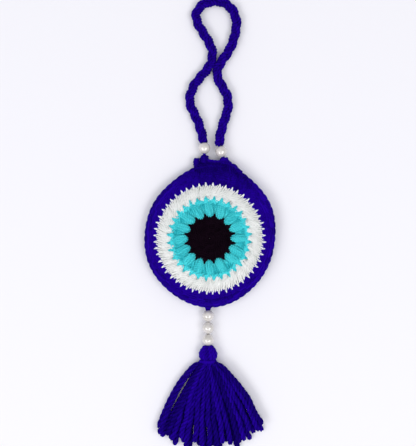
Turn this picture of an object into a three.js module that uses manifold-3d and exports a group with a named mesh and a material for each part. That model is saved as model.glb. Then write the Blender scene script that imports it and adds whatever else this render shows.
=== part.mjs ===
// Crocheted evil eye hanging ornament: a padded crochet eye on a plaited hanging loop,
// with two pearl beads above it, and three pearl beads and a yarn tassel below it.
// Units are millimetres. The ornament lies on its back: +Z is the way the eye looks, +Y runs
// towards the hanging loop, and the origin is the eye's centre on the face that it rests on.
import * as THREE from "three";
import { mergeVertices } from "three/addons/utils/BufferGeometryUtils.js";
import Module from "manifold-3d";

const wasm = await Module();
wasm.setup();

// ---- driving dimensions ----
const GAP = 0.3; // between pieces that touch

const PUPIL_R = 15.2; // outer radius of each crocheted round
const IRIS_R = 26.5;
const WHITE_R = 37.6;
const BORDER_R = 43.4; // the blue border where it is narrowest
const BULGES = [
  // how far the hand-worked border stands out: mm, and where and how widely, in degrees
  { size: 7.4, at: 8, spread: 36 },
  { size: 2.7, at: 60, spread: 24 },
  { size: 1.0, at: -55, spread: 20 },
  { size: 3.0, at: 180, spread: 35 },
  { size: 0.9, at: -115, spread: 25 },
  { size: 2.4, at: 18.5, spread: 5 },
];
const EDGE_SEGMENTS = 72; // round the pieces that follow the outline
const ROUND_SEGMENTS = 40; // round the pupil and the iris
const WHITE_SEGMENTS = 44;
const PAD_SEGMENTS = 36;
const HEAD_SEGMENTS = 20; // round the tassel's head and its wrap
const YARN_SIDES = 10; // round a short straight run of yarn or thread

const BACK_THICK = 3.2;
const PAD_THICK = 2.4;
const PAD_R = 35.5;
const RIM = { width: 2.3, low: 1.0, high: 7.0 }; // the chain worked round the edge
const RIM_ROUNDING = { across: 0.6, up: 0.7 };
const FRONT_LOW = BACK_THICK + PAD_THICK + 2 * GAP;
const BACK_ROUNDING = { across: 1.6, up: 1.4 };

// The tops of the crocheted rounds: their heights, and how their edges are rounded off.
const PUPIL_TOP = { foot: 7.4, edge: 9.2, middle: 9.6 };
const PUPIL_ROUNDING = { below: 0.8, above: 1.2 };
const IRIS_TOP = { inner: 10.3, crown: 10.8, outer: 10.0 };
const WHITE_TOP = { inner: 10.0, crown: 10.2, outer: 8.6 };
const RING_ROUNDING = { across: 1.2, innerDrop: 1.4, outerDrop: 1.0 };
const BORDER_TOP = { innerEdge: 7.4, inner: 8.2, outer: 7.8, outerEdge: 6.8 };
const BORDER_ROUNDING = { inner: 0.6, outer: 0.8 };

const BEAD_R = 4.0;
const BORE_R = 0.75; // the three beads on the tassel's thread
const BIG_BORE_R = 1.3; // the two beads on the hanging loop's yarn
const THREAD_R = 0.4;
const STEM_R = 1.0;

const STRING_X = -1.0; // the tassel hangs slightly off the middle
const AXIS_Z = 4.2; // height of the thread, and of the yarn through the upper beads
const FIRST_BEAD_Y = -52.6;
const BEAD_PITCH = 8.2;
const BEADS_ON_THREAD = 3;

const CORD_R = 3.0; // the plaited hanging loop
const CORD_STEPS = 46;
const CORD_ROUTE = [
  [-3.9, 65.8, 4.1],
  [-5.7, 72.7, 3.3],
  [-7.9, 79.6, 3.05],
  [-11.0, 86.1, 3.05],
  [-13.5, 92.8, 3.05],
  [-12.6, 99.4, 3.05],
  [-9.8, 105.3, 3.05],
  [-5.3, 110.8, 3.05],
  [-1.1, 115.8, 3.05],
  [1.2, 120.6, 3.05],
  [2.0, 125.6, 3.05],
  [0.8, 131.0, 3.05],
  [-2.2, 136.6, 3.05],
  [-5.6, 142.1, 3.05],
  [-8.3, 147.2, 3.05],
  [-9.2, 152.0, 3.05],
  [-7.3, 156.6, 3.05],
  [-3.4, 159.7, 3.05],
  [1.2, 161.1, 3.05],
  [6.0, 161.3, 3.05],
  [10.7, 160.0, 3.05],
  [14.8, 156.4, 3.05],
  [17.4, 151.6, 3.05],
  [18.3, 146.2, 3.05],
  [17.6, 140.7, 3.05],
  [16.2, 135.1, 3.05],
  [14.0, 129.6, 3.05],
  [11.1, 124.8, 3.05],
  [8.2, 120.6, 3.05],
  [5.8, 116.2, 3.05],
  [5.0, 111.9, 3.05],
  [6.4, 107.2, 3.05],
  [9.1, 102.5, 3.05],
  [11.7, 97.5, 3.05],
  [12.6, 92.1, 3.05],
  [12.0, 86.6, 3.05],
  [10.0, 80.6, 3.05],
  [8.3, 74.7, 3.05],
  [7.0, 69.0, 3.3],
  [6.4, 63.5, 4.1],
];

const KNOTS = {
  left: { at: [-3.6, 53.7], half: [2.5, 3.0, 2.4] },
  right: { at: [9.7, 52.9], half: [3.3, 2.1, 2.1] },
};
const TAIL_KNOT = { at: [-8.8, 52.0], half: [2.2, 3.1, 2.1] }; // finishes the edge chain
const LEFT_BEAD = [-3.5, 61.4];
const RIGHT_BEAD = [7.8, 59.0];
const BAR = { y: 52.3, radius: 1.0 }; // the yarn that the loop turns on, between its knots

const EYELET = { y: -47.7, ring: 0.6, yarn: 0.4 }; // the small yarn eyelet under the eye
const TIE_Y = -73.45; // the knot that the tassel hangs from
const TIE_R = 0.75;
const HEAD = { top: -73.9, wide: 6.1, neck: 4.7 };
const HEAD_SHOULDER = [
  // from the neck up: radius less than the widest, and height above the wrap's top
  [0.4, 1.0],
  [0, 3.4],
];
const HEAD_DOME = [
  // from the side to the top: radius less than the widest, and depth below the head's top
  [0.5, 2.6],
  [1.7, 0.9],
  [3.5, 0],
];
const FLATTEN = AXIS_Z / HEAD.wide; // the head lies slightly flattened
const WRAP = { inner: 5.0, outer: 6.2, top: -82.5, bottom: -84.6, rounding: 0.4 };
const NECK_REACH = { above: 0.2, below: 0.5 }; // how far the neck runs past the wrap, to overlap
const FAN = { y: -84.3, root: 9.0, low: 0.6, high: 7.8 }; // where the strands spread from
const STRAND_LAYERS = [
  // height at the root, height at the tip, how far round the fan, and how far out it ends
  { z0: 1.45, z1: 1.65, shift: 0.0, reach: 55.5 },
  { z0: 3.25, z1: 1.65, shift: 0.5, reach: 58.5 },
  { z0: 5.05, z1: 5.1, shift: 0.25, reach: 56.5 },
  { z0: 6.85, z1: 5.1, shift: 0.75, reach: 54.5 },
];
const STRANDS_PER_LAYER = 8;
const STRAND_R = { root: 0.75, tip: 1.6 };
const FAN_ANGLE = { root: 77, bend: 60, tip: 38 }; // degrees to each side
const FAN_BEND = 28; // distance from the fan's centre where the strands turn down
const FAN_LEAN = 3; // degrees that the tips lean to the right
const MIDDLE_EXTRA = 2.5; // how much farther the middle strands reach than the outer ones

// ---- materials ----
const yarn = (color) => new THREE.MeshStandardMaterial({ color, roughness: 0.95, metalness: 0 });
const BLUE = yarn(0x1e0796);
const BLACK = yarn(0x0d0610);
const TURQUOISE = yarn(0x1fb9c4);
const WHITE = yarn(0xe4e9e2);
const WADDING = yarn(0xf1f1ee);
const THREAD = yarn(0xe8e4da);
const PEARL = new THREE.MeshStandardMaterial({ color: 0xe6e2d8, roughness: 0.22, metalness: 0 });

const ornament = new THREE.Group();

function piece(name, geometry, material, position = [0, 0, 0]) {
  const mesh = new THREE.Mesh(geometry, material);
  mesh.name = name;
  mesh.position.set(...position);
  ornament.add(mesh);
  return mesh;
}

// ---- shapes ----

// A profile of [radius, height] points turned about Z.
function turned(profile, segments) {
  const points = profile.map(([r, z]) => new THREE.Vector2(r, z));
  return new THREE.LatheGeometry(points, segments).rotateX(Math.PI / 2);
}

// How far the border stands out at an angle measured from +Y towards +X, in degrees.
function outline(degrees) {
  let radius = BORDER_R;
  for (const { size, at, spread } of BULGES) {
    const away = ((degrees - at + 540) % 360) - 180;
    radius += size * Math.exp(-((away / spread) ** 2));
  }
  return radius;
}

// Stretches a turned shape so that its outer radius follows the outline.
function fitToOutline(geometry, innerR, outerR) {
  const position = geometry.getAttribute("position");
  for (let i = 0; i < position.count; i++) {
    const x = position.getX(i);
    const y = position.getY(i);
    const r = Math.hypot(x, y);
    if (r < 1e-6) continue;
    const share = Math.min(1, Math.max(0, (r - innerR) / (outerR - innerR)));
    const grown = r + (outline(THREE.MathUtils.radToDeg(Math.atan2(x, y))) - BORDER_R) * share;
    position.setXY(i, (x * grown) / r, (y * grown) / r);
  }
  return geometry;
}

// A closed solid from a geometry, for joining and cutting.
function solid(geometry) {
  const bare = geometry.index ? geometry.clone() : mergeVertices(geometry);
  bare.deleteAttribute("normal");
  bare.deleteAttribute("uv");
  const merged = mergeVertices(bare, 1e-4);
  return new wasm.Manifold(
    new wasm.Mesh({
      numProp: 3,
      vertProperties: new Float32Array(merged.getAttribute("position").array),
      triVerts: new Uint32Array(merged.index.array),
    }),
  );
}

function geometryOf(manifold) {
  const mesh = manifold.getMesh();
  const geometry = new THREE.BufferGeometry();
  geometry.setAttribute("position", new THREE.BufferAttribute(mesh.vertProperties, 3));
  geometry.setIndex(new THREE.BufferAttribute(mesh.triVerts, 1));
  geometry.computeVertexNormals();
  return geometry;
}

// A round yarn of changing radius bent along a curve.
function bentYarn(curve, startR, endR, sides, steps) {
  const geometry = new THREE.CylinderGeometry(endR, startR, 1, sides, steps);
  const position = geometry.getAttribute("position");
  const up = new THREE.Vector3(0, 0, 1);
  for (let i = 0; i < position.count; i++) {
    const along = position.getY(i) + 0.5;
    const ahead = curve.getTangentAt(along);
    const side = new THREE.Vector3().crossVectors(ahead, up).normalize();
    const lift = new THREE.Vector3().crossVectors(side, ahead);
    const point = curve
      .getPointAt(along)
      .addScaledVector(side, position.getX(i))
      .addScaledVector(lift, position.getZ(i));
    position.setXYZ(i, point.x, point.y, point.z);
  }
  return geometry;
}

// A ball with a bore along Y.
function bead(boreR) {
  const open = Math.asin(boreR / BEAD_R);
  const steps = 10;
  const profile = [];
  for (let i = 0; i <= steps; i++) {
    const angle = open + ((Math.PI - 2 * open) * i) / steps;
    profile.push(new THREE.Vector2(BEAD_R * Math.sin(angle), -BEAD_R * Math.cos(angle)));
  }
  profile.push(profile[0].clone());
  return new THREE.LatheGeometry(profile, 18);
}

function ball([x, y, z], [a, b, c], detail = [14, 8]) {
  return new THREE.SphereGeometry(1, ...detail).scale(a, b, c).translate(x, y, z);
}

// ---- the eye ----
function eyeRounds() {
  const low = FRONT_LOW;
  piece(
    "pupil_round",
    turned(
      [
        [0, low],
        [PUPIL_R - PUPIL_ROUNDING.below, low],
        [PUPIL_R, PUPIL_TOP.foot],
        [PUPIL_R - PUPIL_ROUNDING.above, PUPIL_TOP.edge],
        [0, PUPIL_TOP.middle],
      ],
      ROUND_SEGMENTS,
    ),
    BLACK,
  );
  const ring = (innerR, outerR, top) => [
    [innerR, low],
    [outerR, low],
    [outerR, top.outer - RING_ROUNDING.outerDrop],
    [outerR - RING_ROUNDING.across, top.outer],
    [(innerR + outerR) / 2, top.crown],
    [innerR + RING_ROUNDING.across, top.inner],
    [innerR, top.inner - RING_ROUNDING.innerDrop],
    [innerR, low],
  ];
  const irisProfile = ring(PUPIL_R + GAP, IRIS_R, IRIS_TOP);
  const whiteProfile = ring(IRIS_R + GAP, WHITE_R, WHITE_TOP);
  piece("iris_round", turned(irisProfile, ROUND_SEGMENTS), TURQUOISE);
  piece("white_round", turned(whiteProfile, WHITE_SEGMENTS), WHITE);

  const borderInner = WHITE_R + GAP;
  const borderOuter = BORDER_R - RIM.width - GAP;
  const floor = BACK_THICK + GAP;
  piece(
    "border_round",
    fitToOutline(
      turned(
        [
          [borderInner, floor],
          [borderOuter, floor],
          [borderOuter, BORDER_TOP.outerEdge],
          [borderOuter - BORDER_ROUNDING.outer, BORDER_TOP.outer],
          [borderInner + BORDER_ROUNDING.inner, BORDER_TOP.inner],
          [borderInner, BORDER_TOP.innerEdge],
          [borderInner, floor],
        ],
        EDGE_SEGMENTS,
      ),
      borderInner,
      borderOuter,
    ),
    BLUE,
  );
}

function eyeBody() {
  const panelR = BORDER_R - RIM.width - GAP;
  piece(
    "back_panel",
    fitToOutline(
      turned(
        [
          [0, 0],
          [panelR - BACK_ROUNDING.across, 0],
          [panelR, BACK_ROUNDING.up],
          [panelR, BACK_THICK],
          [0, BACK_THICK],
        ],
        EDGE_SEGMENTS,
      ),
      0,
      panelR,
    ),
    BLUE,
  );
  const padLow = BACK_THICK + GAP;
  piece(
    "wadding_pad",
    turned(
      [[0, padLow], [PAD_R, padLow], [PAD_R, padLow + PAD_THICK], [0, padLow + PAD_THICK]],
      PAD_SEGMENTS,
    ),
    WADDING,
  );
  const inner = BORDER_R - RIM.width;
  const middle = (RIM.low + RIM.high) / 2;
  piece(
    "rim_chain",
    fitToOutline(
      turned(
        [
          [inner, RIM.low],
          [BORDER_R - RIM_ROUNDING.across, RIM.low + RIM_ROUNDING.up],
          [BORDER_R, middle],
          [BORDER_R - RIM_ROUNDING.across, RIM.high - RIM_ROUNDING.up],
          [inner, RIM.high],
          [inner, RIM.low],
        ],
        EDGE_SEGMENTS,
      ),
      0,
      inner,
    ),
    BLUE,
  );
}

// The loop's yarn is knotted through the top of the eye at two places, and crosses between them.
function hangerTies() {
  for (const [side, { at, half }] of Object.entries(KNOTS)) {
    piece(side + "_knot", ball([...at, AXIS_Z], half), BLUE);
  }
  piece("tail_knot", ball([...TAIL_KNOT.at, AXIS_Z], TAIL_KNOT.half), BLUE);
  const start = KNOTS.left.at[0] + KNOTS.left.half[0] + GAP;
  const end = KNOTS.right.at[0] - KNOTS.right.half[0] - GAP;
  piece(
    "crossing_yarn",
    new THREE.CylinderGeometry(BAR.radius, BAR.radius, end - start, YARN_SIDES)
      .rotateZ(Math.PI / 2)
      .translate((start + end) / 2, BAR.y, AXIS_Z),
    BLUE,
  );
}

// ---- the hanging loop and its two beads ----
const cordPoints = CORD_ROUTE.map((p) => new THREE.Vector3(...p));

function hangingLoop() {
  const section = new THREE.Shape().absarc(0, 0, CORD_R, 0, 2 * Math.PI);
  const path = new THREE.CatmullRomCurve3(cordPoints, false, "centripetal");
  piece(
    "hanging_plait",
    new THREE.ExtrudeGeometry(section, { extrudePath: path, steps: CORD_STEPS, curveSegments: 4 }),
    BLUE,
  );

  const sides = [
    ["left", KNOTS.left, LEFT_BEAD, cordPoints[0]],
    ["right", KNOTS.right, RIGHT_BEAD, cordPoints[cordPoints.length - 1]],
  ];
  for (const [side, knot, [x, y], cordEnd] of sides) {
    const centre = new THREE.Vector3(x, y, AXIS_Z);
    const fromKnot = centre.clone().sub(new THREE.Vector3(...knot.at, AXIS_Z));
    const along = fromKnot.clone().normalize();
    piece(side + "_bead", bead(BIG_BORE_R), PEARL, [x, y, AXIS_Z]).quaternion.setFromUnitVectors(
      new THREE.Vector3(0, 1, 0),
      along,
    );
    // The yarn through the bead runs from just above the knot to just short of the plait.
    const low = fromKnot.length() - knot.half[1] - 1.5 * GAP;
    const high = cordEnd.distanceTo(centre) - 2 * GAP;
    const stem = new THREE.CylinderGeometry(STEM_R, STEM_R, low + high, 12);
    stem.translate(0, (high - low) / 2, 0);
    piece(side + "_stem", stem, BLUE, [x, y, AXIS_Z]).quaternion.setFromUnitVectors(
      new THREE.Vector3(0, 1, 0),
      along,
    );
  }
}

// ---- the beads and thread between the eye and the tassel ----
function beadString() {
  piece(
    "bottom_eyelet",
    new THREE.TorusGeometry(EYELET.ring, EYELET.yarn, 8, 14),
    BLUE,
    [STRING_X, EYELET.y, AXIS_Z],
  );
  const threadTop = FIRST_BEAD_Y + BEAD_R - THREAD_R;
  const threadBottom = TIE_Y + TIE_R + GAP;
  piece(
    "bead_thread",
    new THREE.CylinderGeometry(THREAD_R, THREAD_R, threadTop - threadBottom, YARN_SIDES),
    THREAD,
    [STRING_X, (threadTop + threadBottom) / 2, AXIS_Z],
  );
  for (let i = 0; i < BEADS_ON_THREAD; i++) {
    const y = FIRST_BEAD_Y - i * BEAD_PITCH;
    piece("tassel_bead_" + (i + 1), bead(BORE_R), PEARL, [STRING_X, y, AXIS_Z]);
  }
  piece("tassel_tie", ball([0, 0, 0], [TIE_R, TIE_R, TIE_R], [12, 8]), THREAD, [
    STRING_X,
    TIE_Y,
    AXIS_Z,
  ]);
}

// ---- the tassel ----
function fanPoint(distance, degrees, z) {
  const angle = THREE.MathUtils.degToRad(degrees);
  const x = STRING_X + distance * Math.sin(angle);
  const y = FAN.y - distance * Math.cos(angle);
  return new THREE.Vector3(x, y, z);
}

// The folded yarns: the round head, the neck, and the packed start of the skirt.
function tasselBundle() {
  const { top, wide, neck } = HEAD;
  const clearY = WRAP.bottom - GAP;
  const profile = [
    [0, clearY - NECK_REACH.below],
    [neck, clearY - NECK_REACH.below],
    [neck, WRAP.top + NECK_REACH.above],
    ...HEAD_SHOULDER.map(([less, above]) => [wide - less, WRAP.top + above]),
    ...HEAD_DOME.map(([less, below]) => [wide - less, top - below]),
    [0, top],
  ].map(([r, y]) => new THREE.Vector2(r, y));
  const head = new THREE.LatheGeometry(profile, HEAD_SEGMENTS)
    .scale(1, 1, FLATTEN)
    .translate(STRING_X, 0, AXIS_Z);

  const root = new THREE.CylinderGeometry(FAN.root, FAN.root, FAN.high - FAN.low, 32)
    .rotateX(Math.PI / 2)
    .translate(STRING_X, FAN.y, (FAN.low + FAN.high) / 2);
  const clear = new THREE.BoxGeometry(30, 20, 20).translate(STRING_X, clearY + 10, AXIS_Z);
  const dimple = ball([STRING_X, TIE_Y, AXIS_Z], Array(3).fill(TIE_R + GAP), [16, 10]);
  const joined = solid(head)
    .add(solid(root).subtract(solid(clear)))
    .subtract(solid(dimple));
  piece("tassel_bundle", geometryOf(joined), BLUE);
}

function neckWrap() {
  const { inner, outer, top, bottom, rounding } = WRAP;
  const middle = (top + bottom) / 2;
  const profile = [
    [inner, bottom],
    [outer - rounding, bottom],
    [outer, middle],
    [outer - rounding, top],
    [inner, top],
    [inner, bottom],
  ].map(([r, y]) => new THREE.Vector2(r, y));
  piece(
    "neck_wrap",
    new THREE.LatheGeometry(profile, HEAD_SEGMENTS).scale(1, 1, FLATTEN),
    BLUE,
    [STRING_X, 0, AXIS_Z],
  );
}

function tasselStrands() {
  let number = 0;
  for (const { z0, z1, shift, reach } of STRAND_LAYERS) {
    for (let k = 0; k < STRANDS_PER_LAYER; k++) {
      number += 1;
      const share = (2 * (k + shift)) / (STRANDS_PER_LAYER - 0.25) - 1; // -1 left, 1 right
      const tipReach = reach + MIDDLE_EXTRA * (1 - share ** 2);
      const curve = new THREE.QuadraticBezierCurve3(
        fanPoint(FAN.root + GAP + 0.2, FAN_ANGLE.root * share, z0),
        fanPoint(FAN_BEND, FAN_ANGLE.bend * share, (z0 + z1) / 2),
        fanPoint(tipReach, FAN_ANGLE.tip * share + FAN_LEAN, z1),
      );
      piece(
        "strand_" + String(number).padStart(2, "0"),
        bentYarn(curve, STRAND_R.root, STRAND_R.tip, 6, 7),
        BLUE,
      );
    }
  }
}

eyeBody();
eyeRounds();
hangerTies();
hangingLoop();
beadString();
tasselBundle();
neckWrap();
tasselStrands();

export default ornament;
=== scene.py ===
"""A crocheted evil eye ornament with a plaited loop, pearl beads and a tassel, lying on a pale table."""

import math

import bpy
import numpy as np
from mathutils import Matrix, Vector


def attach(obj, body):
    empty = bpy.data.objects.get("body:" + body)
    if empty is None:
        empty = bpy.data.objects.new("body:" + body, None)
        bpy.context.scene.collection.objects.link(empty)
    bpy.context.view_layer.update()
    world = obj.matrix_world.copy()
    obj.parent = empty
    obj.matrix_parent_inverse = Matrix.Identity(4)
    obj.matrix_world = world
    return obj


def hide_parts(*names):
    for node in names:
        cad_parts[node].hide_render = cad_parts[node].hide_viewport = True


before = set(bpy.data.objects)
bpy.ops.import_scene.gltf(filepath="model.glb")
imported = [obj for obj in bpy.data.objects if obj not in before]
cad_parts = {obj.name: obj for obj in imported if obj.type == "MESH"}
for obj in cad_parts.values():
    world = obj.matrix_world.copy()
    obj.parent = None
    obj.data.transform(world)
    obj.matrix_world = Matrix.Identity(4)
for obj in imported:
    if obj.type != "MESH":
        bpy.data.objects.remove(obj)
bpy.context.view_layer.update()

MM = 0.001
TURN = 2 * math.pi
UP = np.array([0.0, 0.0, 1.0])

# Sizes in millimetres, the same as the CAD's.
BORDER_R = 43.4
# How far each bulge of the border stands out, its angle from +Y towards +X, and its spread.
BULGES = [(7.4, 8, 36), (2.7, 60, 24), (1.0, -55, 20), (3.0, 180, 35), (0.9, -115, 25), (2.4, 18.5, 5)]
BEAD_R = 4.0
UPPER_BORE_R = 1.3
LOWER_BORE_R = 0.75
STRING_X = -1.0
AXIS_Z = 4.2
FIRST_BEAD_Y = -52.6
BEAD_PITCH = 8.2
TIE_Y = -73.45
LEFT_KNOT = (-3.6, 53.7)
RIGHT_KNOT = (9.7, 52.9)
TAIL_KNOT = (-8.8, 52.0)
LEFT_BEAD = (-3.5, 61.4)
RIGHT_BEAD = (7.8, 59.0)
HEAD_TOP = -73.9
HEAD_WIDE = 6.1
NECK_TOP = -82.5
NECK_BOTTOM = -84.6
FLATTEN = AXIS_Z / HEAD_WIDE  # the tassel's head is wider than it is thick
FAN_Y = -84.3
FAN_ROOT = 9.0
FAN_BEND = 28.0
STRANDS_PER_LAYER = 8
MIDDLE_EXTRA = 2.5
# For each layer of strands: its height at the root and at the tip, its shift sideways, and its reach.
STRAND_LAYERS = [
    (1.45, 1.65, 0.0, 55.5),
    (3.25, 1.65, 0.5, 58.5),
    (5.05, 5.1, 0.25, 56.5),
    (6.85, 5.1, 0.75, 54.5),
]
CORD_ROUTE = [
    (-3.9, 65.8, 4.1),
    (-5.7, 72.7, 3.3),
    (-7.9, 79.6, 3.05),
    (-11.0, 86.1, 3.05),
    (-13.5, 92.8, 3.05),
    (-12.6, 99.4, 3.05),
    (-9.8, 105.3, 3.05),
    (-5.3, 110.8, 3.05),
    (-1.1, 115.8, 3.05),
    (1.2, 120.6, 3.05),
    (2.0, 125.6, 3.05),
    (0.8, 131.0, 3.05),
    (-2.2, 136.6, 3.05),
    (-5.6, 142.1, 3.05),
    (-8.3, 147.2, 3.05),
    (-9.2, 152.0, 3.05),
    (-7.3, 156.6, 3.05),
    (-3.4, 159.7, 3.05),
    (1.2, 161.1, 3.05),
    (6.0, 161.3, 3.05),
    (10.7, 160.0, 3.05),
    (14.8, 156.4, 3.05),
    (17.4, 151.6, 3.05),
    (18.3, 146.2, 3.05),
    (17.6, 140.7, 3.05),
    (16.2, 135.1, 3.05),
    (14.0, 129.6, 3.05),
    (11.1, 124.8, 3.05),
    (8.2, 120.6, 3.05),
    (5.8, 116.2, 3.05),
    (5.0, 111.9, 3.05),
    (6.4, 107.2, 3.05),
    (9.1, 102.5, 3.05),
    (11.7, 97.5, 3.05),
    (12.6, 92.1, 3.05),
    (12.0, 86.6, 3.05),
    (10.0, 80.6, 3.05),
    (8.3, 74.7, 3.05),
    (7.0, 69.0, 3.3),
    (6.4, 63.5, 4.1),
]

# Settled a little closer together than the CAD's: degrees at the root, the bend and the tip.
FAN_ANGLES = (76.0, 55.5, 39.0)
FAN_LEAN = 2.0

TABLE_GAP = 0.04  # the least height of any yarn, in millimetres

rng = np.random.default_rng(7)


# ---- curves, as arrays of points in millimetres: (lines, points, 3) ----
def smooth(points, count):
    """A line through given points, with count points evenly spaced along it."""
    p = np.asarray(points, float)
    p = np.vstack([2 * p[0] - p[1], p, 2 * p[-1] - p[-2]])
    t = np.linspace(0, 1, 24, endpoint=False)[:, None]
    parts = []
    for i in range(1, len(p) - 2):
        a, b, c, d = p[i - 1 : i + 3]
        square = 2 * a - 5 * b + 4 * c - d
        cube = 3 * b - a - 3 * c + d
        parts.append(0.5 * (2 * b + (c - a) * t + square * t**2 + cube * t**3))
    return even(np.vstack(parts + [p[-2:-1]]), count)


def even(line, count):
    """The same line with count points, evenly spaced."""
    along = np.concatenate([[0], np.cumsum(np.linalg.norm(np.diff(line, axis=0), axis=1))])
    at = np.linspace(0, along[-1], count)
    return np.stack([np.interp(at, along, line[:, k]) for k in range(3)], -1)


def unit(v):
    return v / np.maximum(np.linalg.norm(v, axis=-1, keepdims=True), 1e-9)


def lengths(lines):
    """How far along its line each point lies."""
    step = np.linalg.norm(np.diff(lines, axis=1), axis=2)
    return np.concatenate([np.zeros((len(lines), 1)), np.cumsum(step, axis=1)], axis=1)


def frames(lines, outward=None):
    """(tangent, side, lift) along each line. Side stays nearest to outward, or is carried along."""
    tangent = unit(np.gradient(lines, axis=1))
    if outward is not None:
        outward = np.broadcast_to(outward, lines.shape)
        side = unit(outward - tangent * np.sum(outward * tangent, -1, keepdims=True))
        return tangent, side, np.cross(tangent, side)
    first = tangent[:, 0]
    steep = np.abs(first[:, 2:]) > 0.9
    carried = np.cross(first, np.where(steep, [1.0, 0, 0], [0, 0, 1.0]))
    side = np.empty_like(lines)
    for i in range(lines.shape[1]):
        t = tangent[:, i]
        carried = unit(carried - t * np.sum(carried * t, -1, keepdims=True))
        side[:, i] = carried
    return tangent, side, np.cross(tangent, side)


def outline(degrees):
    """The border's outer radius at an angle measured from +Y towards +X."""
    radius = np.full(np.shape(degrees), BORDER_R)
    for size, at, spread in BULGES:
        away = (np.asarray(degrees) - at + 540) % 360 - 180
        radius = radius + size * np.exp(-((away / spread) ** 2))
    return radius


def polar(r, degrees, z):
    """Points at a radius and at an angle measured from +Y towards +X."""
    a = np.radians(degrees)
    r, a, z = np.broadcast_arrays(r, a, z)
    return np.stack([r * np.sin(a), r * np.cos(a), z], -1)


# ---- yarn ----
class Skein:
    """Yarn gathered into one piece. Everything is in millimetres until it is made.

    Shade is painted into the colour: a larger setting at making paints the sides and underside of a strand
    and the inner sides of its plies darker, and its top paler.
    """

    def __init__(self, painted_shade=0.9):
        self.painted_shade = painted_shade
        self.vertices = []
        self.quads = []
        self.caps = []
        self.maps = []
        self.tones_with_painted_shade = []
        self.count = 0

    def tube(self, lines, radius, sides=6, outward=None, tone=None):
        """Round tubes along lines, each darker or paler by its tone, from about 0 to 1, with shade painted
        on.

            Outward is the direction that a tube's palest side faces, if it isn't simply upwards: the
            painted shade is darkest on the side away from it and underneath.
        """
        lines = np.asarray(lines, float)
        lines = lines[None] if lines.ndim == 2 else lines
        m, n, _ = lines.shape
        radius = np.broadcast_to(radius, (m, n))
        tone = rng.random(m) if tone is None else np.broadcast_to(tone, (m,))
        _, side, lift = frames(lines, outward)
        turn = TURN * np.arange(sides) / sides
        spokes = side[:, :, None] * np.cos(turn)[:, None] + lift[:, :, None] * np.sin(turn)[:, None]
        self.vertices.append((lines[:, :, None] + spokes * radius[:, :, None, None]).reshape(-1, 3))
        # Painted shade: the tone is lowered on a tube's sides and underside and on the inner side of each
        # ply, and raised on its top, as if lit from above.
        facing = 0.4 * spokes[..., 2] + (0.6 * np.cos(turn) if outward is not None else 0)
        self.tones_with_painted_shade.append((tone[:, None, None] + self.painted_shade * (facing - 0.15)).ravel())

        line, point, corner = np.meshgrid(np.arange(m), np.arange(n - 1), np.arange(sides), indexing="ij")
        after = (corner + 1) % sides
        low = (line * n + point) * sides
        high = (line * n + point + 1) * sides
        quads = np.stack([low + corner, low + after, high + after, high + corner], -1)
        self.quads.append(quads.reshape(-1, 4) + self.count)
        along = lengths(lines)
        u = (along[:, :-1, None] + 0 * corner, along[:, 1:, None] + 0 * corner)
        v = (corner / sides, (corner + 1) / sides)
        uv = np.stack([np.stack([u[i], v[j]], -1) for i, j in ((0, 0), (0, 1), (1, 1), (1, 0))], -2)
        self.maps.append(uv.reshape(-1, 4, 2))
        first = np.arange(m)[:, None] * n * sides + np.arange(sides)[None, ::-1]
        last = (np.arange(m)[:, None] * n + n - 1) * sides + np.arange(sides)[None]
        self.caps.extend((np.vstack([first, last]) + self.count).tolist())
        self.count += m * n * sides

    def yarn(self, lines, radius, plies=3, pitch=7.0, sides=6, flare=0.0, tone=None, full=1.1):
        """Plied yarn: each ply winds once round the line in every pitch.

        Flare opens the plies at the far end. Full is how thick a ply is for its room, so that above 1
        the plies press into each other.
        """
        lines = np.asarray(lines, float)
        lines = lines[None] if lines.ndim == 2 else lines
        m, n, _ = lines.shape
        _, side, lift = frames(lines)
        along = lengths(lines)
        radius = np.broadcast_to(radius, (m, n))
        thick = radius / (1 + 1 / math.sin(math.pi / plies))
        start = rng.random((m, 1))
        tone = rng.random(m) if tone is None else np.broadcast_to(tone, (m,))
        turns = np.zeros((m, n))
        turns[:, 1:] = np.cumsum(np.diff(along, axis=1) / np.broadcast_to(pitch, (m, n))[:, 1:], axis=1)
        open_end = 1 + flare * np.clip((along - along[:, -1:] + 4) / 4, 0, 1) ** 2
        for k in range(plies):
            turn = (TURN * (turns + k / plies + start))[..., None]
            out = side * np.cos(turn) + lift * np.sin(turn)
            reach = ((radius - thick) * open_end)[:, :, None]
            self.tube(lines + out * reach, thick * full, sides, out, tone=tone + 0.12 * (k - 1))

    def make(self, name, body, material, replaces):
        """One mesh of all the yarn, with its map for the fibres and a tone for each point, which carries
        painted shade as well as each strand's own tone.
        """
        vertices = np.vstack(self.vertices)
        vertices[:, 2] = np.maximum(vertices[:, 2], TABLE_GAP)
        vertices *= MM
        faces = np.vstack(self.quads).tolist() + self.caps
        mesh = bpy.data.meshes.new(name)
        mesh.from_pydata(vertices.tolist(), [], faces)
        loops = sum(len(f) for f in faces)
        uv = np.zeros((loops, 2), np.float32)
        maps = np.vstack(self.maps).reshape(-1, 2)
        uv[: len(maps)] = maps
        mesh.uv_layers.new(name="YarnMap").data.foreach_set("uv", uv.ravel())
        tone = mesh.attributes.new("tone", "FLOAT", "POINT")
        tone.data.foreach_set("value", np.concatenate(self.tones_with_painted_shade).astype(np.float32))
        mesh.polygons.foreach_set("use_smooth", np.ones(len(faces), bool))
        return place(name, mesh, body, material, replaces)


def place(name, mesh, body, material, replaces):
    piece = bpy.data.objects.new(name, mesh)
    bpy.context.scene.collection.objects.link(piece)
    piece.data.materials.append(material)
    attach(piece, body)
    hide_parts(*replaces)
    return piece


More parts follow.
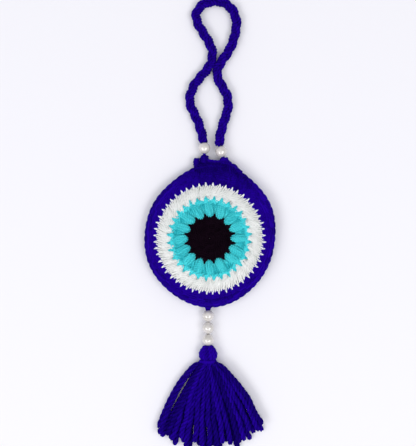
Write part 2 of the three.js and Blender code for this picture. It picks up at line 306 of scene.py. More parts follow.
# ---- materials ----
class Nodes:
    """A material, with short ways to add the nodes that its shader needs."""

    def __init__(self, name):
        self.material = bpy.data.materials.new(name)
        self.material.use_nodes = True
        self.tree = self.material.node_tree
        self.shader = self.tree.nodes["Principled BSDF"]

    def add(self, kind, **settings):
        node = self.tree.nodes.new(kind)
        for key, value in settings.items():
            setattr(node, key, value)
        return node

    def link(self, source, target):
        self.tree.links.new(source, target)

    def maths(self, operation, first, second):
        node = self.add("ShaderNodeMath", operation=operation)
        for socket, value in zip(node.inputs, (first, second)):
            if isinstance(value, (int, float)):
                socket.default_value = value
            else:
                self.link(value, socket)
        return node.outputs[0]

    def noise(self, vector, scale, detail=2.0, roughness=0.5):
        node = self.add("ShaderNodeTexNoise", noise_dimensions="3D")
        node.inputs["Scale"].default_value = scale
        node.inputs["Detail"].default_value = detail
        node.inputs["Roughness"].default_value = roughness
        self.link(vector, node.inputs["Vector"])
        return node.outputs["Fac"]

    def base_color(self, source, stops):
        """The shader's colour, through a ramp of (position, colour) stops."""
        node = self.add("ShaderNodeValToRGB")
        while len(node.color_ramp.elements) < len(stops):
            node.color_ramp.elements.new(0.5)
        for element, (position, color) in zip(node.color_ramp.elements, stops):
            element.position = position
            element.color = (*color, 1)
        self.link(source, node.inputs["Fac"])
        self.link(node.outputs["Color"], self.shader.inputs["Base Color"])

    def bump(self, height, strength, distance=None):
        node = self.add("ShaderNodeBump")
        node.inputs["Strength"].default_value = strength
        if distance is not None:
            node.inputs["Distance"].default_value = distance
        self.link(height, node.inputs["Height"])
        self.link(node.outputs["Normal"], self.shader.inputs["Normal"])

    def set_shader(self, values):
        for name, value in values.items():
            self.shader.inputs[name].default_value = value


def yarn_material(name, dark, base, light, sheen, sheen_tint):
    """Spun fibre: hairs that run along the ply at a slant, fine lint, and a tone for each strand, which
    also carries painted shade.
    """
    n = Nodes(name)
    uv = n.add("ShaderNodeUVMap", uv_map="YarnMap")
    split = n.add("ShaderNodeSeparateXYZ")
    n.link(uv.outputs["UV"], split.inputs[0])
    along, around = split.outputs["X"], split.outputs["Y"]
    slant = n.maths("ADD", n.maths("MULTIPLY", around, 6.0), n.maths("MULTIPLY", along, 1.1))
    drawn = n.maths("MULTIPLY", along, 0.22)
    join = n.add("ShaderNodeCombineXYZ")
    n.link(slant, join.inputs[0])
    n.link(drawn, join.inputs[1])
    fibre = n.noise(join.outputs[0], 1.6, detail=4.0, roughness=0.65)
    place_at = n.add("ShaderNodeTexCoord").outputs["Object"]
    lint = n.noise(place_at, 900.0, detail=3.0)
    # The tone attribute holds each strand's own tone together with painted shade on strand sides, in the
    # gaps between stitches and at the border's top.
    tone = n.add("ShaderNodeAttribute", attribute_name="tone").outputs["Fac"]
    strand = n.maths("ADD", n.maths("MULTIPLY", lint, 0.2), n.maths("MULTIPLY", tone, 0.22))
    mixed = n.maths("ADD", n.maths("MULTIPLY", fibre, 0.55), strand)
    n.base_color(mixed, [(0.28, dark), (0.48, base), (0.68, light)])
    n.bump(n.maths("ADD", fibre, n.maths("MULTIPLY", lint, 0.5)), 0.5, 0.00025)
    n.set_shader(
        {
            "Roughness": 0.9,
            "Specular IOR Level": 0.02,
            "Sheen Weight": sheen,
            "Sheen Roughness": 0.45,
            "Sheen Tint": (*sheen_tint, 1),
        }
    )
    return n.material


def pearl_material():
    """A pearl coating: slightly cloudy, under a clear glossy coat."""
    n = Nodes("pearl_coating")
    place_at = n.add("ShaderNodeTexCoord").outputs["Object"]
    cloud = n.noise(place_at, 260.0)
    n.base_color(cloud, [(0.3, (0.53, 0.50, 0.46)), (0.5, (0.61, 0.58, 0.55)), (0.7, (0.65, 0.60, 0.60))])
    n.bump(n.noise(place_at, 1500.0), 0.04, 0.0001)
    n.set_shader(
        {
            "Roughness": 0.24,
            "Specular IOR Level": 0.9,
            "Coat Weight": 1.0,
            "Coat IOR": 2.2,
            "Coat Roughness": 0.06,
            "Sheen Weight": 0.15,
        }
    )
    return n.material


def wadding_material():
    n = Nodes("wadding_fibre")
    fluff = n.noise(n.add("ShaderNodeTexCoord").outputs["Object"], 400.0, detail=6.0)
    n.base_color(fluff, [(0.3, (0.7, 0.7, 0.68)), (0.7, (0.9, 0.9, 0.88))])
    n.bump(fluff, 0.8)
    n.set_shader({"Roughness": 1.0})
    return n.material


BLUE = yarn_material(
    "blue_yarn", (0.0032, 0.0, 0.065), (0.0080, 0.0002, 0.162), (0.019, 0.0005, 0.33),
    sheen=0.05, sheen_tint=(0.08, 0.0, 1.0),
)
BLACK = yarn_material(
    "black_yarn", (0.0022, 0.0008, 0.0022), (0.0044, 0.0014, 0.0042), (0.009, 0.0035, 0.0085),
    sheen=0.0, sheen_tint=(1, 1, 1),
)
TURQUOISE = yarn_material(
    "turquoise_yarn", (0.011, 0.38, 0.44), (0.040, 0.66, 0.75), (0.11, 0.90, 0.95),
    sheen=0.04, sheen_tint=(0.3, 0.9, 1.0),
)
WHITE = yarn_material(
    "white_yarn", (0.62, 0.65, 0.62), (0.92, 0.935, 0.92), (0.98, 0.985, 0.975),
    sheen=0.05, sheen_tint=(1, 1, 1),
)
THREAD = yarn_material(
    "pale_thread", (0.50, 0.48, 0.43), (0.66, 0.64, 0.58), (0.60, 0.57, 0.54),
    sheen=0.05, sheen_tint=(1, 1, 1),
)
PEARL = pearl_material()


# ---- the camera, straight above ----
def look_down():
    lens, sensor = 85.0, 36.0
    view_height = 0.3033  # metres that the picture spans from top to bottom, at focus_z
    aim_x, aim_y, focus_z = -0.0011, 0.0105, 0.004
    camera = bpy.data.objects.new("camera", bpy.data.cameras.new("camera"))
    camera.data.lens = lens
    camera.data.sensor_width = sensor
    camera.data.clip_end = 10
    camera.location = (aim_x, aim_y, focus_z + view_height * lens / sensor)
    bpy.context.scene.collection.objects.link(camera)
    bpy.context.scene.camera = camera


look_down()


# ---- the hanging loop: a three-strand plait of plied yarn ----
def plait():
    route = smooth(CORD_ROUTE, 620)
    length = lengths(route[None])[0]
    total = length[-1]
    _, side, lift = frames(route[None], UP)
    up, left = side[0], lift[0]
    near_bead = np.clip(np.minimum(length, total - length) / 1.5, 0, 1) ** 0.5
    skein = Skein()
    lap = 23.5
    half_wide, half_high = 1.85, 1.1
    for k in range(3):
        turn = TURN * (length / lap + k / 3)
        wide = half_wide * (0.6 + 0.4 * near_bead) * np.sin(turn)
        high = half_high * np.sin(2 * turn)
        line = route + left * wide[:, None] + up * high[:, None]
        skein.yarn(line, 1.66 - 0.2 * (1 - near_bead), plies=3, pitch=6.5, sides=8, tone=0.15 + 0.12 * k)
    piece = skein.make("hanging_plait_yarn", "hanger", BLUE, ["hanging_plait"])
    return piece, route * MM


def stem(name, knot, bead, cord_end, node):
    """The loop's yarn from its knot, through the bead, to the plait."""
    a = np.array([*knot, AXIS_Z])
    b = np.array([*bead, AXIS_Z])
    c = np.array(cord_end)
    way = unit(b - a)
    line = smooth([a + way * 1.4, a + way * 2.6, b, c - (c - b) * 0.05, c + (c - b) * 0.15], 40)
    skein = Skein()
    skein.yarn(line, 1.15, plies=4, pitch=6.0)
    skein.make(name, "hanger", BLUE, [node])


def knot(name, centre, half, body, node, degrees, square):
    """A lump of yarn wound close. Square is 2 for an ellipsoid, and more for flatter sides."""
    yarn = 0.8
    a = math.radians(degrees)
    along = np.array([math.sin(a), math.cos(a), 0])
    over = np.array([math.cos(a), -math.sin(a), 0])
    middle = np.array([*centre, AXIS_Z])
    skein = Skein()
    for turns, lean, inside in ((3.6, 0.35, 0.0), (3.1, -0.5, 0.35)):
        t = np.linspace(0, 1, 190)
        turn = TURN * turns * t
        y = (half[1] - yarn - inside) * (2 * t - 1)
        girth = (1 - np.abs(2 * t - 1) ** square * 0.93) ** (1 / square)
        x = (half[0] - yarn - inside) * girth * np.cos(turn)
        z = (half[2] - yarn - inside) * girth * np.sin(turn)
        y = y + lean * np.cos(turn) * girth
        line = middle + over * x[:, None] + along * y[:, None] + UP * z[:, None]
        skein.yarn(line, yarn, plies=3, pitch=5.0)
    t = np.linspace(-1, 1, 24)
    core = middle + along * (t * (half[1] - 0.7))[:, None]
    thick = (min(half[0], half[2]) - 0.7) * np.maximum(1 - np.abs(t) ** square, 0.02) ** (1 / square)
    skein.tube(core, thick, 14, tone=0.2)
    skein.make(name, body, BLUE, [node])


def bead(name, body, centre, direction, bore, node):
    """A moulded ball with a bore whose lips are rounded."""
    lip = 0.25
    around = 56
    start = math.asin((bore + lip) / BEAD_R)
    end = BEAD_R * math.cos(start)
    angles = np.linspace(start, math.pi - start, 40)
    outside = [(BEAD_R * math.sin(a), BEAD_R * math.cos(a)) for a in angles]
    top = [
        (bore + lip * (1 - math.sin(a)), end - lip * (1 - math.cos(a)) * 0.9)
        for a in np.linspace(0.2, math.pi / 2, 5)
    ]
    bottom = [(r, -y) for r, y in top]
    inside = [(bore, y) for y in np.linspace(-end + lip, end - lip, 4)]
    section = np.array(outside + bottom + inside + top[::-1])
    turn = TURN * np.arange(around) / around
    r, y = section[:, None, 0], section[:, None, 1]
    points = np.stack([r * np.cos(turn), y + 0 * turn, r * np.sin(turn)], -1).reshape(-1, 3)
    rows = len(section)
    faces = []
    for i in range(rows):
        j = (i + 1) % rows
        for k in range(around):
            after = (k + 1) % around
            faces.append((i * around + k, i * around + after, j * around + after, j * around + k))
    way = unit(np.array(direction, float))
    across = unit(np.cross(way, UP))
    basis = np.stack([across, way, np.cross(across, way)])
    mesh = bpy.data.meshes.new(name)
    mesh.from_pydata(((points @ basis + np.array(centre)) * MM).tolist(), [], faces)
    mesh.update()
    mesh.polygons.foreach_set("use_smooth", np.ones(len(faces), bool))
    return place(name, mesh, body, PEARL, [node])


# ---- crochet ----
def posts(
    skein, a_in, a_out, r_in, r_out, count, low, crown, cover, strands, radius,
    dome=0.4, slant=0.0, power=5.0, tone=None, round_in=0.0, round_out=0.0, pitch=3.2,
):
    """Upright stitches: strands side by side that come up at r_in, run outwards, and go down at r_out.

    Count is how many fit round the circle, and cover is how much of that room the strands take at
    five places from the inner end to the outer one. Low and crown are heights. Dome is how much
    lower the outer strands lie, and round_in and round_out how much shorter they are at each end.
    A larger power makes the ends steeper. Slant is how far the strands cross the stitch.
    """
    points = 26
    u = 0.5 - 0.5 * np.cos(np.linspace(0, math.pi, points))
    rise = np.clip(1 - np.abs(2 * u - 1) ** power, 0, 1) ** (1 / power)
    a_in, a_out, r_in, r_out = (np.asarray(v, float).reshape(-1, 1, 1) for v in (a_in, a_out, r_in, r_out))
    side = np.linspace(-1, 1, strands).reshape(1, -1, 1)
    start = r_in + round_in * side**2
    end = r_out - round_out * side**2
    r = start + (end - start) * u
    half = np.interp(u, [0, 0.15, 0.5, 0.85, 1], cover) * math.pi * r / count
    shape = (a_in.size, strands, 1)
    wobble = 0.1 * rng.standard_normal(shape) * np.sin(math.pi * u)
    a = a_in + (a_out - a_in) * u + np.degrees((half * side + slant * (2 * u - 1) + wobble) / r)
    top = crown[0] + (crown[1] - crown[0]) * u - dome * side**2
    z = low + (top - low) * rise + 0.07 * rng.standard_normal(shape) * rise
    lines = polar(*np.broadcast_arrays(r, a, z)).reshape(-1, points, 3)
    taper = radius * (0.75 + 0.25 * np.sin(math.pi * u) ** 0.5)
    tone = rng.random(a_in.size) * 0.5 if tone is None else tone
    tone = np.repeat(tone, strands) + rng.random(len(lines)) * 0.5
    skein.yarn(lines, taper * 1.12, plies=2, pitch=pitch, sides=5, tone=tone)


def spikes(skein, angles, r_foot, r_tip, spread, low, high, radius, plied=False):
    """The top of a stitch drawn out to a point: two legs that meet at the tip."""
    t = np.linspace(-1, 1, 21)
    angles = np.asarray(angles, float).reshape(-1, 1)
    reach = (r_tip - r_foot) * (1 + 0.07 * rng.standard_normal(angles.shape))
    r = r_foot + reach * (1 - np.sqrt(t**2 + 0.004))
    a = angles + np.degrees(spread * t / r)
    z = low + (high - low) * (1 - np.abs(t) ** 3)
    lines = polar(*np.broadcast_arrays(r, a, z))
    thick = radius * (0.62 + 0.38 * np.abs(t))
    if plied:
        skein.yarn(lines, thick * 1.15, plies=2, pitch=2.6, sides=5)
    else:
        skein.tube(lines, thick, 6)


def chain(skein, line, across, up, count, wide, high, radius, paler=0.0):
    """A chain of stitches along a closed line: two rows of leaves, each tucked under the next."""
    reach = 1.55
    loop = np.vstack([line, line[:1]])
    along = lengths(loop[None])[0]
    pitch = along[-1] / count
    t = np.linspace(0, 1, 13)
    at = (np.arange(count)[:, None] * pitch + (t * reach - 0.25) * pitch) % along[-1]

    def follow(values):
        closed = np.vstack([values, values[:1]])
        return np.stack([np.interp(at, along, closed[:, k]) for k in range(3)], -1)

    base, sideways, upward = follow(line), unit(follow(across)), unit(follow(up))
    spread = wide * (0.18 + 0.82 * np.sin(math.pi * t * 0.92) ** 0.9)
    height = high * np.sin(math.pi * t) ** 0.7 - 0.4 * t
    for row in (-1, 1):
        points = base + sideways * (row * spread)[:, None] + upward * height[:, None]
        thick = radius * (0.55 + 0.45 * np.sin(math.pi * t) ** 0.6)
        skein.tube(points, thick, 6, tone=paler + rng.random(count))


SECTION_AT = np.linspace(0, 360, 120, endpoint=False)


def packed(skein, rows, tone=0.1):
    """The yarn under the visible stitches: a closed section turned about Z.

    Each row is a (radius, height), and the radius may change along SECTION_AT.
    """
    segments = len(SECTION_AT)
    count = len(rows)
    base = skein.count
    grid = np.concatenate([polar(r, SECTION_AT, z) for r, z in rows])
    skein.vertices.append(grid)
    skein.tones_with_painted_shade.append(np.full(len(grid), tone))
    i, k = np.meshgrid(np.arange(count), np.arange(segments), indexing="ij")
    j, after = (i + 1) % count, (k + 1) % segments
    corners = [i * segments + k, j * segments + k, j * segments + after, i * segments + after]
    quads = np.stack(corners, -1).reshape(-1, 4)
    skein.quads.append(quads + base)
    reach = np.concatenate([np.broadcast_to(3.0 * np.asarray(r, float), segments) for r, _ in rows])
    turn = np.tile(SECTION_AT / 12, count)
    skein.maps.append(np.stack([reach[quads], turn[quads]], -1))
    skein.count += len(grid)


PETALS = 16
INNER_WHITE = 32
OUTER = 52
RIM_STITCHES = 58
petal_at = np.arange(PETALS) * 360 / PETALS + rng.uniform(-1.8, 1.8, PETALS)
white_at = np.arange(INNER_WHITE) * 360 / INNER_WHITE + rng.uniform(-0.9, 0.9, INNER_WHITE)
outer_at = np.arange(OUTER) * 360 / OUTER + rng.uniform(-0.7, 0.7, OUTER)
between_petals = petal_at + 180 / PETALS


def at_top(degrees):
    """From 0 to 1 where the border is widest, under the hanging loop."""
    away = (degrees - BULGES[0][1] + 540) % 360 - 180
    return np.exp(-((away / 30) ** 2))


def ring(radius, height):
    """A closed line round the eye, and its outward directions. Either size may depend on the angle."""
    a = np.linspace(0, 360, 480, endpoint=False)
    radius = radius(a) if callable(radius) else radius
    height = height(a) if callable(height) else height
    return polar(radius, a, height), polar(1.0, a, 0.0)


def pupil():
    """Three rounds of black stitches, and points that reach out between the petals."""
    skein = Skein()
    packed(skein, [(0.6, 6.4), (18.4, 6.4), (18.8, 7.4), (15.0, 7.9), (3.0, 8.0), (0.6, 7.6)])
    first = np.arange(6) * 60.0
    posts(skein, first, first + 25, 0.8, 5.0, 6, 7.0, (8.9, 9.0), (0.5, 0.8, 0.9, 0.9, 0.7), 4, 0.6)
    second = np.arange(12) * 30.0 + 4
    full = (0.7, 0.9, 0.95, 0.95, 0.8)
    posts(skein, second, second + 8, 4.2, 10.0, 12, 7.0, (9.1, 9.1), full, 4, 0.72, slant=0.4)
    third = np.arange(PETALS) * 360 / PETALS + 11
    posts(skein, third, third + 5, 9.2, 15.4, PETALS, 7.0, (9.1, 8.9), full, 5, 0.72, slant=0.4)
    spikes(skein, between_petals, 13.4, 17.3, 1.3, 7.9, 9.9, 0.65)
    spikes(skein, between_petals, 13.2, 15.6, 0.8, 8.3, 9.8, 0.65)
    return skein.make("pupil_crochet", "eye", BLACK, ["pupil_round"])


def iris():
    """Turquoise puff stitches, the wedges between them, and the points and chain round them."""
    skein = Skein(1.6)
    section = [(18.7, 6.2), (27.6, 6.2), (28.0, 7.4), (25.0, 8.5), (19.4, 8.4), (18.7, 7.6)]
    # Painted shade: the yarn under the stitches is painted darker, so the gaps between the petals show as
    # shade.
    packed(skein, section, tone=-0.3)
    lean = rng.uniform(-3, 3, PETALS)
    inner = 14.5 + rng.uniform(-0.4, 0.4, PETALS)
    outer = 24.4
    end_at = petal_at + lean
    puff = {"power": 3.0, "round_in": 1.7, "round_out": 0.6, "pitch": 2.8}
    filling = (0.6, 0.8, 0.75, 0.5, 0.25)
    skin = (0.98, 1.06, 1.0, 0.82, 0.5)
    over = (0.3, 0.46, 0.46, 0.36, 0.2)
    for a_in, a_out, r_in, low, crown, cover, strands, radius, dome in (
        (petal_at, end_at, inner + 0.8, 7.4, (9.6, 9.1), filling, 5, 0.9, 1.9),
        (petal_at, end_at, inner, 7.4, (11.0, 10.0), skin, 6, 0.6, 2.0),
        (petal_at + 1, end_at - 2, inner + 0.9, 7.6, (10.9, 10.1), over, 3, 0.6, 0.3),
    ):
        posts(skein, a_in, a_out, r_in, outer, PETALS, low, crown, cover, strands, radius, dome, **puff)
    at = between_petals
    wedge = (0.05, 0.2, 0.35, 0.5, 0.6)
    # Painted shade: the low wedges between the petals are painted darker, as if in the petals' shade.
    tone = np.full(PETALS, -0.35)
    posts(skein, at, at, 18.6, 24.8, PETALS, 7.2, (8.3, 9.0), wedge, 4, 0.6, dome=0.2, tone=tone, pitch=2.8)
    points_at = white_at + 180 / INNER_WHITE
    for foot, tip, spread, radius in (
        (24.3, 28.8, 1.7, 0.52),
        (24.3, 27.4, 1.1, 0.55),
        (24.4, 26.2, 0.5, 0.55),
    ):
        spikes(skein, points_at, foot, tip, spread, 8.7, 9.6, radius, plied=True)
    t = np.linspace(-1, 1, 17)
    links = 2 * INNER_WHITE
    for radius, turned in ((24.6, 1), (25.8, -1)):
        at = np.arange(links)[:, None] * 180 / INNER_WHITE + rng.uniform(-1.5, 1.5, (links, 1))
        r = radius + turned * 0.9 * t + rng.uniform(-0.4, 0.4, at.shape)
        line = polar(*np.broadcast_arrays(r, at + np.degrees(1.5 * t / radius), 9.9 - 0.9 * t**2))
        skein.yarn(line, 0.62 * (1 - 0.3 * t**2), plies=2, pitch=2.4, sides=5)
    return skein.make("iris_crochet", "eye", TURQUOISE, ["iris_round"])


def white():
    """An inner round of clusters, an outer round of tall stitches, and their points."""
    skein = Skein(1.35)
    section = [(28.2, 6.2), (36.2, 6.2), (36.5, 7.2), (34.0, 8.0), (29.2, 8.5), (28.2, 7.8)]
    # Painted shade: the yarn under the stitches is painted grey, so the gaps between the white stitches
    # show as shade.
    packed(skein, section, tone=-1.5)
    inner = 25.1 + rng.uniform(-0.35, 0.35, INNER_WHITE)
    cluster = (0.6, 0.72, 0.74, 0.76, 0.6)
    shape = {"dome": 1.1, "slant": 0.3, "round_in": 1.2, "power": 3.2, "pitch": 4.4}
    end_at = white_at + 2.4
    posts(skein, white_at, end_at, inner, 32.8, INNER_WHITE, 7.8, (10.1, 9.5), cluster, 5, 0.56, **shape)
    start_at = outer_at - 1.5
    tall = (0.5, 0.8, 0.95, 0.98, 0.85)
    shape = {"dome": 0.5, "slant": 0.35, "power": 5, "round_out": 0.7, "pitch": 4.4}
    posts(skein, start_at, start_at + 3.0, 29.2, 36.6, OUTER, 7.4, (9.7, 8.9), tall, 4, 0.56, **shape)
    points_at = outer_at + 180 / OUTER
    spikes(skein, points_at, 35.0, 38.0, 0.62, 8.2, 9.2, 0.46, plied=True)
    return skein.make("white_crochet", "eye", WHITE, ["white_round"])


def border():
    """Long blue stitches, a chain along their middle and one along their ends, and more at the top."""
    skein = Skein()
    edge = outline(SECTION_AT) - 2.0
    packed(skein, [(36.8, 6.2), (edge, 6.2), (edge, 7.0), (edge - 1.0, 7.5), (38.0, 7.9), (36.8, 7.4)])
    full = (0.85, 1.0, 1.0, 1.0, 0.95)
    at = outer_at
    ends = outline(at) - 1.6
    # Painted shade: besides their random tone, the stitches are painted darker where the border is widest,
    # at the top.
    tone = 0.65 + rng.random(OUTER) * 0.6 - 1.05 * at_top(at)
    shape = {"dome": 0.12, "slant": 0.3, "power": 6, "tone": tone}
    posts(skein, at, at + 1.0, 35.6, ends, OUTER, 6.8, (8.6, 8.1), full, 6, 0.86, **shape)
    middle, out = ring(lambda d: (38.4 + outline(d)) / 2 - 0.2, lambda d: 8.7 - 2.2 * at_top(d))
    chain(skein, middle, out, 0 * out + UP, OUTER, 0.75, 0.3, 0.7, paler=0.2)
    line, out = ring(lambda d: outline(d) - 2.6, lambda d: 7.9 - 1.8 * at_top(d))
    chain(skein, line, out, 0 * out + UP, RIM_STITCHES, 0.85, 0.55, 0.85, paler=0.25)
    short = (0.7, 0.9, 1.0, 0.9, 0.7)
    inside = 37.5
    in_a_row = 17
    for row, turned in enumerate((1, -1, 1, -1)):
        at = BULGES[0][1] + np.arange(-8, 9) * 4.6 + 2.3 * (row % 2) + rng.uniform(-0.6, 0.6, in_a_row)
        room = (outline(at) - 3.4 - inside) / 4
        foot = inside + row * room
        # Painted shade: these stitches are painted darker towards the top as well, besides their random
        # tone.
        tone = 0.3 + 0.5 * rng.random(in_a_row) - 0.75 * at_top(at)
        top = 8.5 + 0.15 * row
        crown = (top, top + 0.25)
        shape = {"dome": 0.2, "slant": 0.7 * turned, "power": 4, "tone": tone}
        posts(skein, at, at + turned, foot, foot + room * 1.5, 78, 7.2, crown, short, 3, 0.62, **shape)
    return skein.make("border_crochet", "eye", BLUE, ["border_round"])


def rim():
    """The edge chain in three rows, and the yarn at the bottom that the eyelet is hooked on."""
    skein = Skein()
    edge = outline(SECTION_AT)
    section = [(3.4, 2.0), (1.4, 2.0), (0.9, 4.0), (1.4, 6.4), (3.4, 6.6)]
    packed(skein, [(edge - inset, height) for inset, height in section])
    _, out = ring(1.0, 0.0)
    up = 0 * out + UP
    for inset, height, direction, wide, high, radius in (
        (1.35, 6.0, (1, 1), 0.95, 0.75, 0.95),
        (1.0, 3.8, (1, 0), 0.9, 0.4, 0.85),
        (1.5, 1.8, (1, -1), 0.7, 0.2, 0.8),
    ):
        line, _ = ring(lambda d: outline(d) - inset, height)
        facing = unit(out * direction[0] + up * direction[1])
        across = unit(np.cross(facing, np.cross(out, up)))
        chain(skein, line, across, facing, RIM_STITCHES, wide, high, radius, paler=0.25)
    for lift in (0.9, -0.9):
        bend = [
            (-3.7, -45.2, 4.4),
            (-2.5, -46.9, AXIS_Z + lift),
            (STRING_X, -47.1, AXIS_Z + 1.5 * lift),
            (0.5, -46.9, AXIS_Z + lift),
            (1.7, -45.2, 4.4),
        ]
        skein.yarn(smooth(bend, 40), 0.75, plies=3, pitch=4.0)
    return skein.make("rim_braid", "eye", BLUE, ["rim_chain"])


def back():
    """The back, worked in plain rounds. Its stitches are pressed flat where it lies on the table."""
    skein = Skein()
    packed(skein, [(0.5, 0.9), (38.6, 0.9), (38.6, 2.6), (0.5, 2.6)])
    full = (0.85, 0.97, 1.0, 1.0, 0.9)
    rounds = [(12, 1.2, 10.6), (24, 10.5, 19.6), (36, 19.5, 28.6), (48, 28.5, None)]
    for i, (count, inner, outer) in enumerate(rounds):
        at = np.arange(count) * 360 / count + 5 * i
        end = outer or outline(at) - 2.8
        posts(skein, at, at + 2, inner, end, count, 1.8, (0.72, 0.72), full, 4, 0.68, dome=-0.08)
        if outer:
            line, out = ring(outer, 0.75)
            chain(skein, line, out, 0 * out - UP, count, 0.75, 0.1, 0.66)
    return skein.make("back_crochet", "eye", BLUE, ["back_panel"])


def crossing():
    """Runs of yarn between and behind the knots, which close the top of the border."""
    skein = Skein()
    for y, z, left, right, left_drop, right_drop in (
        (52.3, 5.4, -1.4, 7.4, -0.7, 0.2),
        (51.0, 6.0, -4.0, 9.0, 0.3, -0.1),
        (49.7, 6.9, -8.0, 12.0, 0.3, -0.1),
        (52.0, 3.2, -9.0, 12.0, 0.3, -0.1),
        (50.4, 4.2, -10.0, 13.0, 0.3, -0.1),
        (48.7, 7.6, -9.5, 13.5, 1.6, 1.2),
        (47.5, 7.9, -8.5, 12.0, 1.6, 1.2),
    ):
        middle = ((left + right) / 2, y, z + 0.3)
        line = smooth([(left, y - left_drop, z - 0.2), middle, (right, y - right_drop, z - 0.2)], 50)
        skein.yarn(line, 1.05, plies=3, pitch=6.5, tone=rng.uniform(-0.3, 0.4) if y < 52 else 0.9)
    for z, inset in ((5.6, 0.0), (3.6, 0.0), (6.4, 1.7)):
        bend = [(9.0, 52.6, z), (12.2, 52.4, z), (15.2, 49.7, z), (19.3, 44.8, z)]
        line = smooth(bend, 50) - np.array([0.55, 0.85, 0]) * inset
        skein.yarn(line, 1.15, plies=3, pitch=6.5)
    return skein.make("crossing_yarns", "eye", BLUE, ["crossing_yarn"])


# ---- the beads on their thread, and the eyelet ----
def eyelet():
    """A small ring of yarn, drawn tight on the thread."""
    skein = Skein()
    t = np.linspace(0, TURN, 60)
    for lift, wide, tall in ((0.7, 1.05, 0.85), (-0.7, 0.95, 0.75)):
        x, y = wide * np.sin(t), tall * np.cos(t)
        line = np.stack([STRING_X + x, -47.85 + y, AXIS_Z + lift + 0.2 * np.sin(2 * t)], -1)
        skein.yarn(line, 0.82, plies=3, pitch=3.6, sides=6)
    return skein.make("eyelet_yarn", "eyelet", BLUE, ["bottom_eyelet"])


def thread():
    """The beads' thread, and the knot of it inside the tassel's head."""
    skein = Skein()
    stops = (-48.6, -60, TIE_Y + 0.3)
    line = smooth([(STRING_X, y, AXIS_Z) for y in stops], 120)
    skein.yarn(line, 0.36, plies=2, pitch=1.8, sides=5)
    skein.make("bead_thread_twist", "bead_string", THREAD, ["bead_thread"])
    skein = Skein()
    t = np.linspace(0, TURN, 60)
    x = STRING_X + (np.sin(t) + 2 * np.sin(2 * t)) * 0.17
    y = TIE_Y + np.sin(3 * t) * 0.35
    z = AXIS_Z + (np.cos(t) - 2 * np.cos(2 * t)) * 0.17
    skein.yarn(np.stack([x, y, z], -1), 0.3, plies=2, pitch=1.6, sides=5)
    skein.make("tassel_tie_knot", "bead_string", THREAD, ["tassel_tie"])


# ---- the tassel ----
def tassel_head():
    """Yarns folded over the tie: they come up over the head and are bound at the neck."""
    skein = Skein(0.5)
    profile = [
        (1.5, HEAD_TOP - 0.8),
        (1.9, HEAD_TOP + 0.35),
        (2.8, HEAD_TOP - 0.2),
        (4.15, HEAD_TOP - 2.1),
        (5.15, HEAD_TOP - 4.4),
        (5.0, HEAD_TOP - 6.6),
        (4.2, NECK_TOP + 0.2),
        (3.8, NECK_BOTTOM + 0.4),
        (3.8, NECK_BOTTOM - 1.4),
    ]
    spine = smooth([(r, y, 0) for r, y in profile], 50)
    u = np.linspace(0, 1, len(spine))
    for count, shrink, yarn, lower in ((17, 1.0, 1.4, 0.0), (9, 0.55, 1.6, 1.4)):
        turn = (TURN * np.arange(count) / count)[:, None] + 0.5 * (u - 0.5)
        turn = turn + 0.06 * rng.standard_normal((count, 1))
        r = spine[:, 0] * shrink * (1 + 0.03 * rng.standard_normal((count, 1)))
        y = spine[:, 1] - lower * (1 - u) + 0 * turn
        lines = np.stack([STRING_X + r * np.sin(turn), y, AXIS_Z + r * np.cos(turn) * FLATTEN], -1)
        thick = yarn * (0.72 + 0.28 * np.sin(math.pi * np.clip(u * 1.3, 0, 1)))
        tone = 0.3 + rng.random(count)
        skein.yarn(lines, thick, plies=3, pitch=6.5, tone=tone)
    return skein.make("tassel_head_yarns", "tassel", BLUE, ["tassel_bundle"])


def neck_winding():
    skein = Skein()
    t = np.linspace(0, 1, 150)
    turns = 2.35
    turn = TURN * turns * t + 2.0
    r = 5.3
    x, z = STRING_X + r * np.sin(turn), AXIS_Z + r * np.cos(turn) * FLATTEN
    line = np.stack([x, NECK_TOP - 0.35 - 1.5 * t, z], -1)
    skein.yarn(line, 0.85, plies=3, pitch=5.0, tone=1.1)
    return skein.make("neck_winding", "tassel", BLUE, ["neck_wrap"])


def fan_point(distance, degrees, z):
    """A point at a distance and an angle from where the skirt's yarns spread."""
    a = math.radians(degrees)
    return np.array([STRING_X + distance * math.sin(a), FAN_Y - distance * math.cos(a), z])


def strand_route(k, z0, z1, shift, reach):
    """The line of strand k of a layer: out of the neck, over the shoulder and down, slightly crooked."""
    share = 2 * (k + shift) / (STRANDS_PER_LAYER - 0.25) - 1  # from -1 at the left edge to 1 at the right
    tip = reach + MIDDLE_EXTRA * (1 - share**2) + rng.uniform(-2.2, 2.2)
    a = fan_point(FAN_ROOT + 0.5, FAN_ANGLES[0] * share, z0)
    b = fan_point(FAN_BEND, FAN_ANGLES[1] * share, (z0 + z1) / 2)
    c = fan_point(tip, FAN_ANGLES[2] * share + FAN_LEAN, z1)
    u = np.linspace(0, 1, 9)[:, None]
    bent = (1 - u) ** 2 * a + 2 * u * (1 - u) * b + u**2 * c
    neck = np.array([STRING_X + 3.9 * share, NECK_BOTTOM + 0.6, AXIS_Z + (z0 - AXIS_Z) * 0.75])
    plain = np.vstack([neck, bent])
    count = len(plain)
    loose = np.clip(np.linspace(-0.15, 1, count), 0, 1)
    route = plain.copy()
    route[:, 0] += rng.uniform(-1.1, 1.1, count) * loose + rng.uniform(-0.5, 0.5)
    if k == 0:
        # Two of the left edge's yarns bow out a little and two bow in, which leaves a gap between them.
        bow = -0.6 if shift in (0.0, 0.25) else 3.0
        route[:, 0] = plain[:, 0] + bow * np.sin(math.pi * np.linspace(0, 1, count) ** 0.8)
    route[:, 2] += rng.uniform(-0.3, 0.3, count) * loose
    return smooth(route, 120)


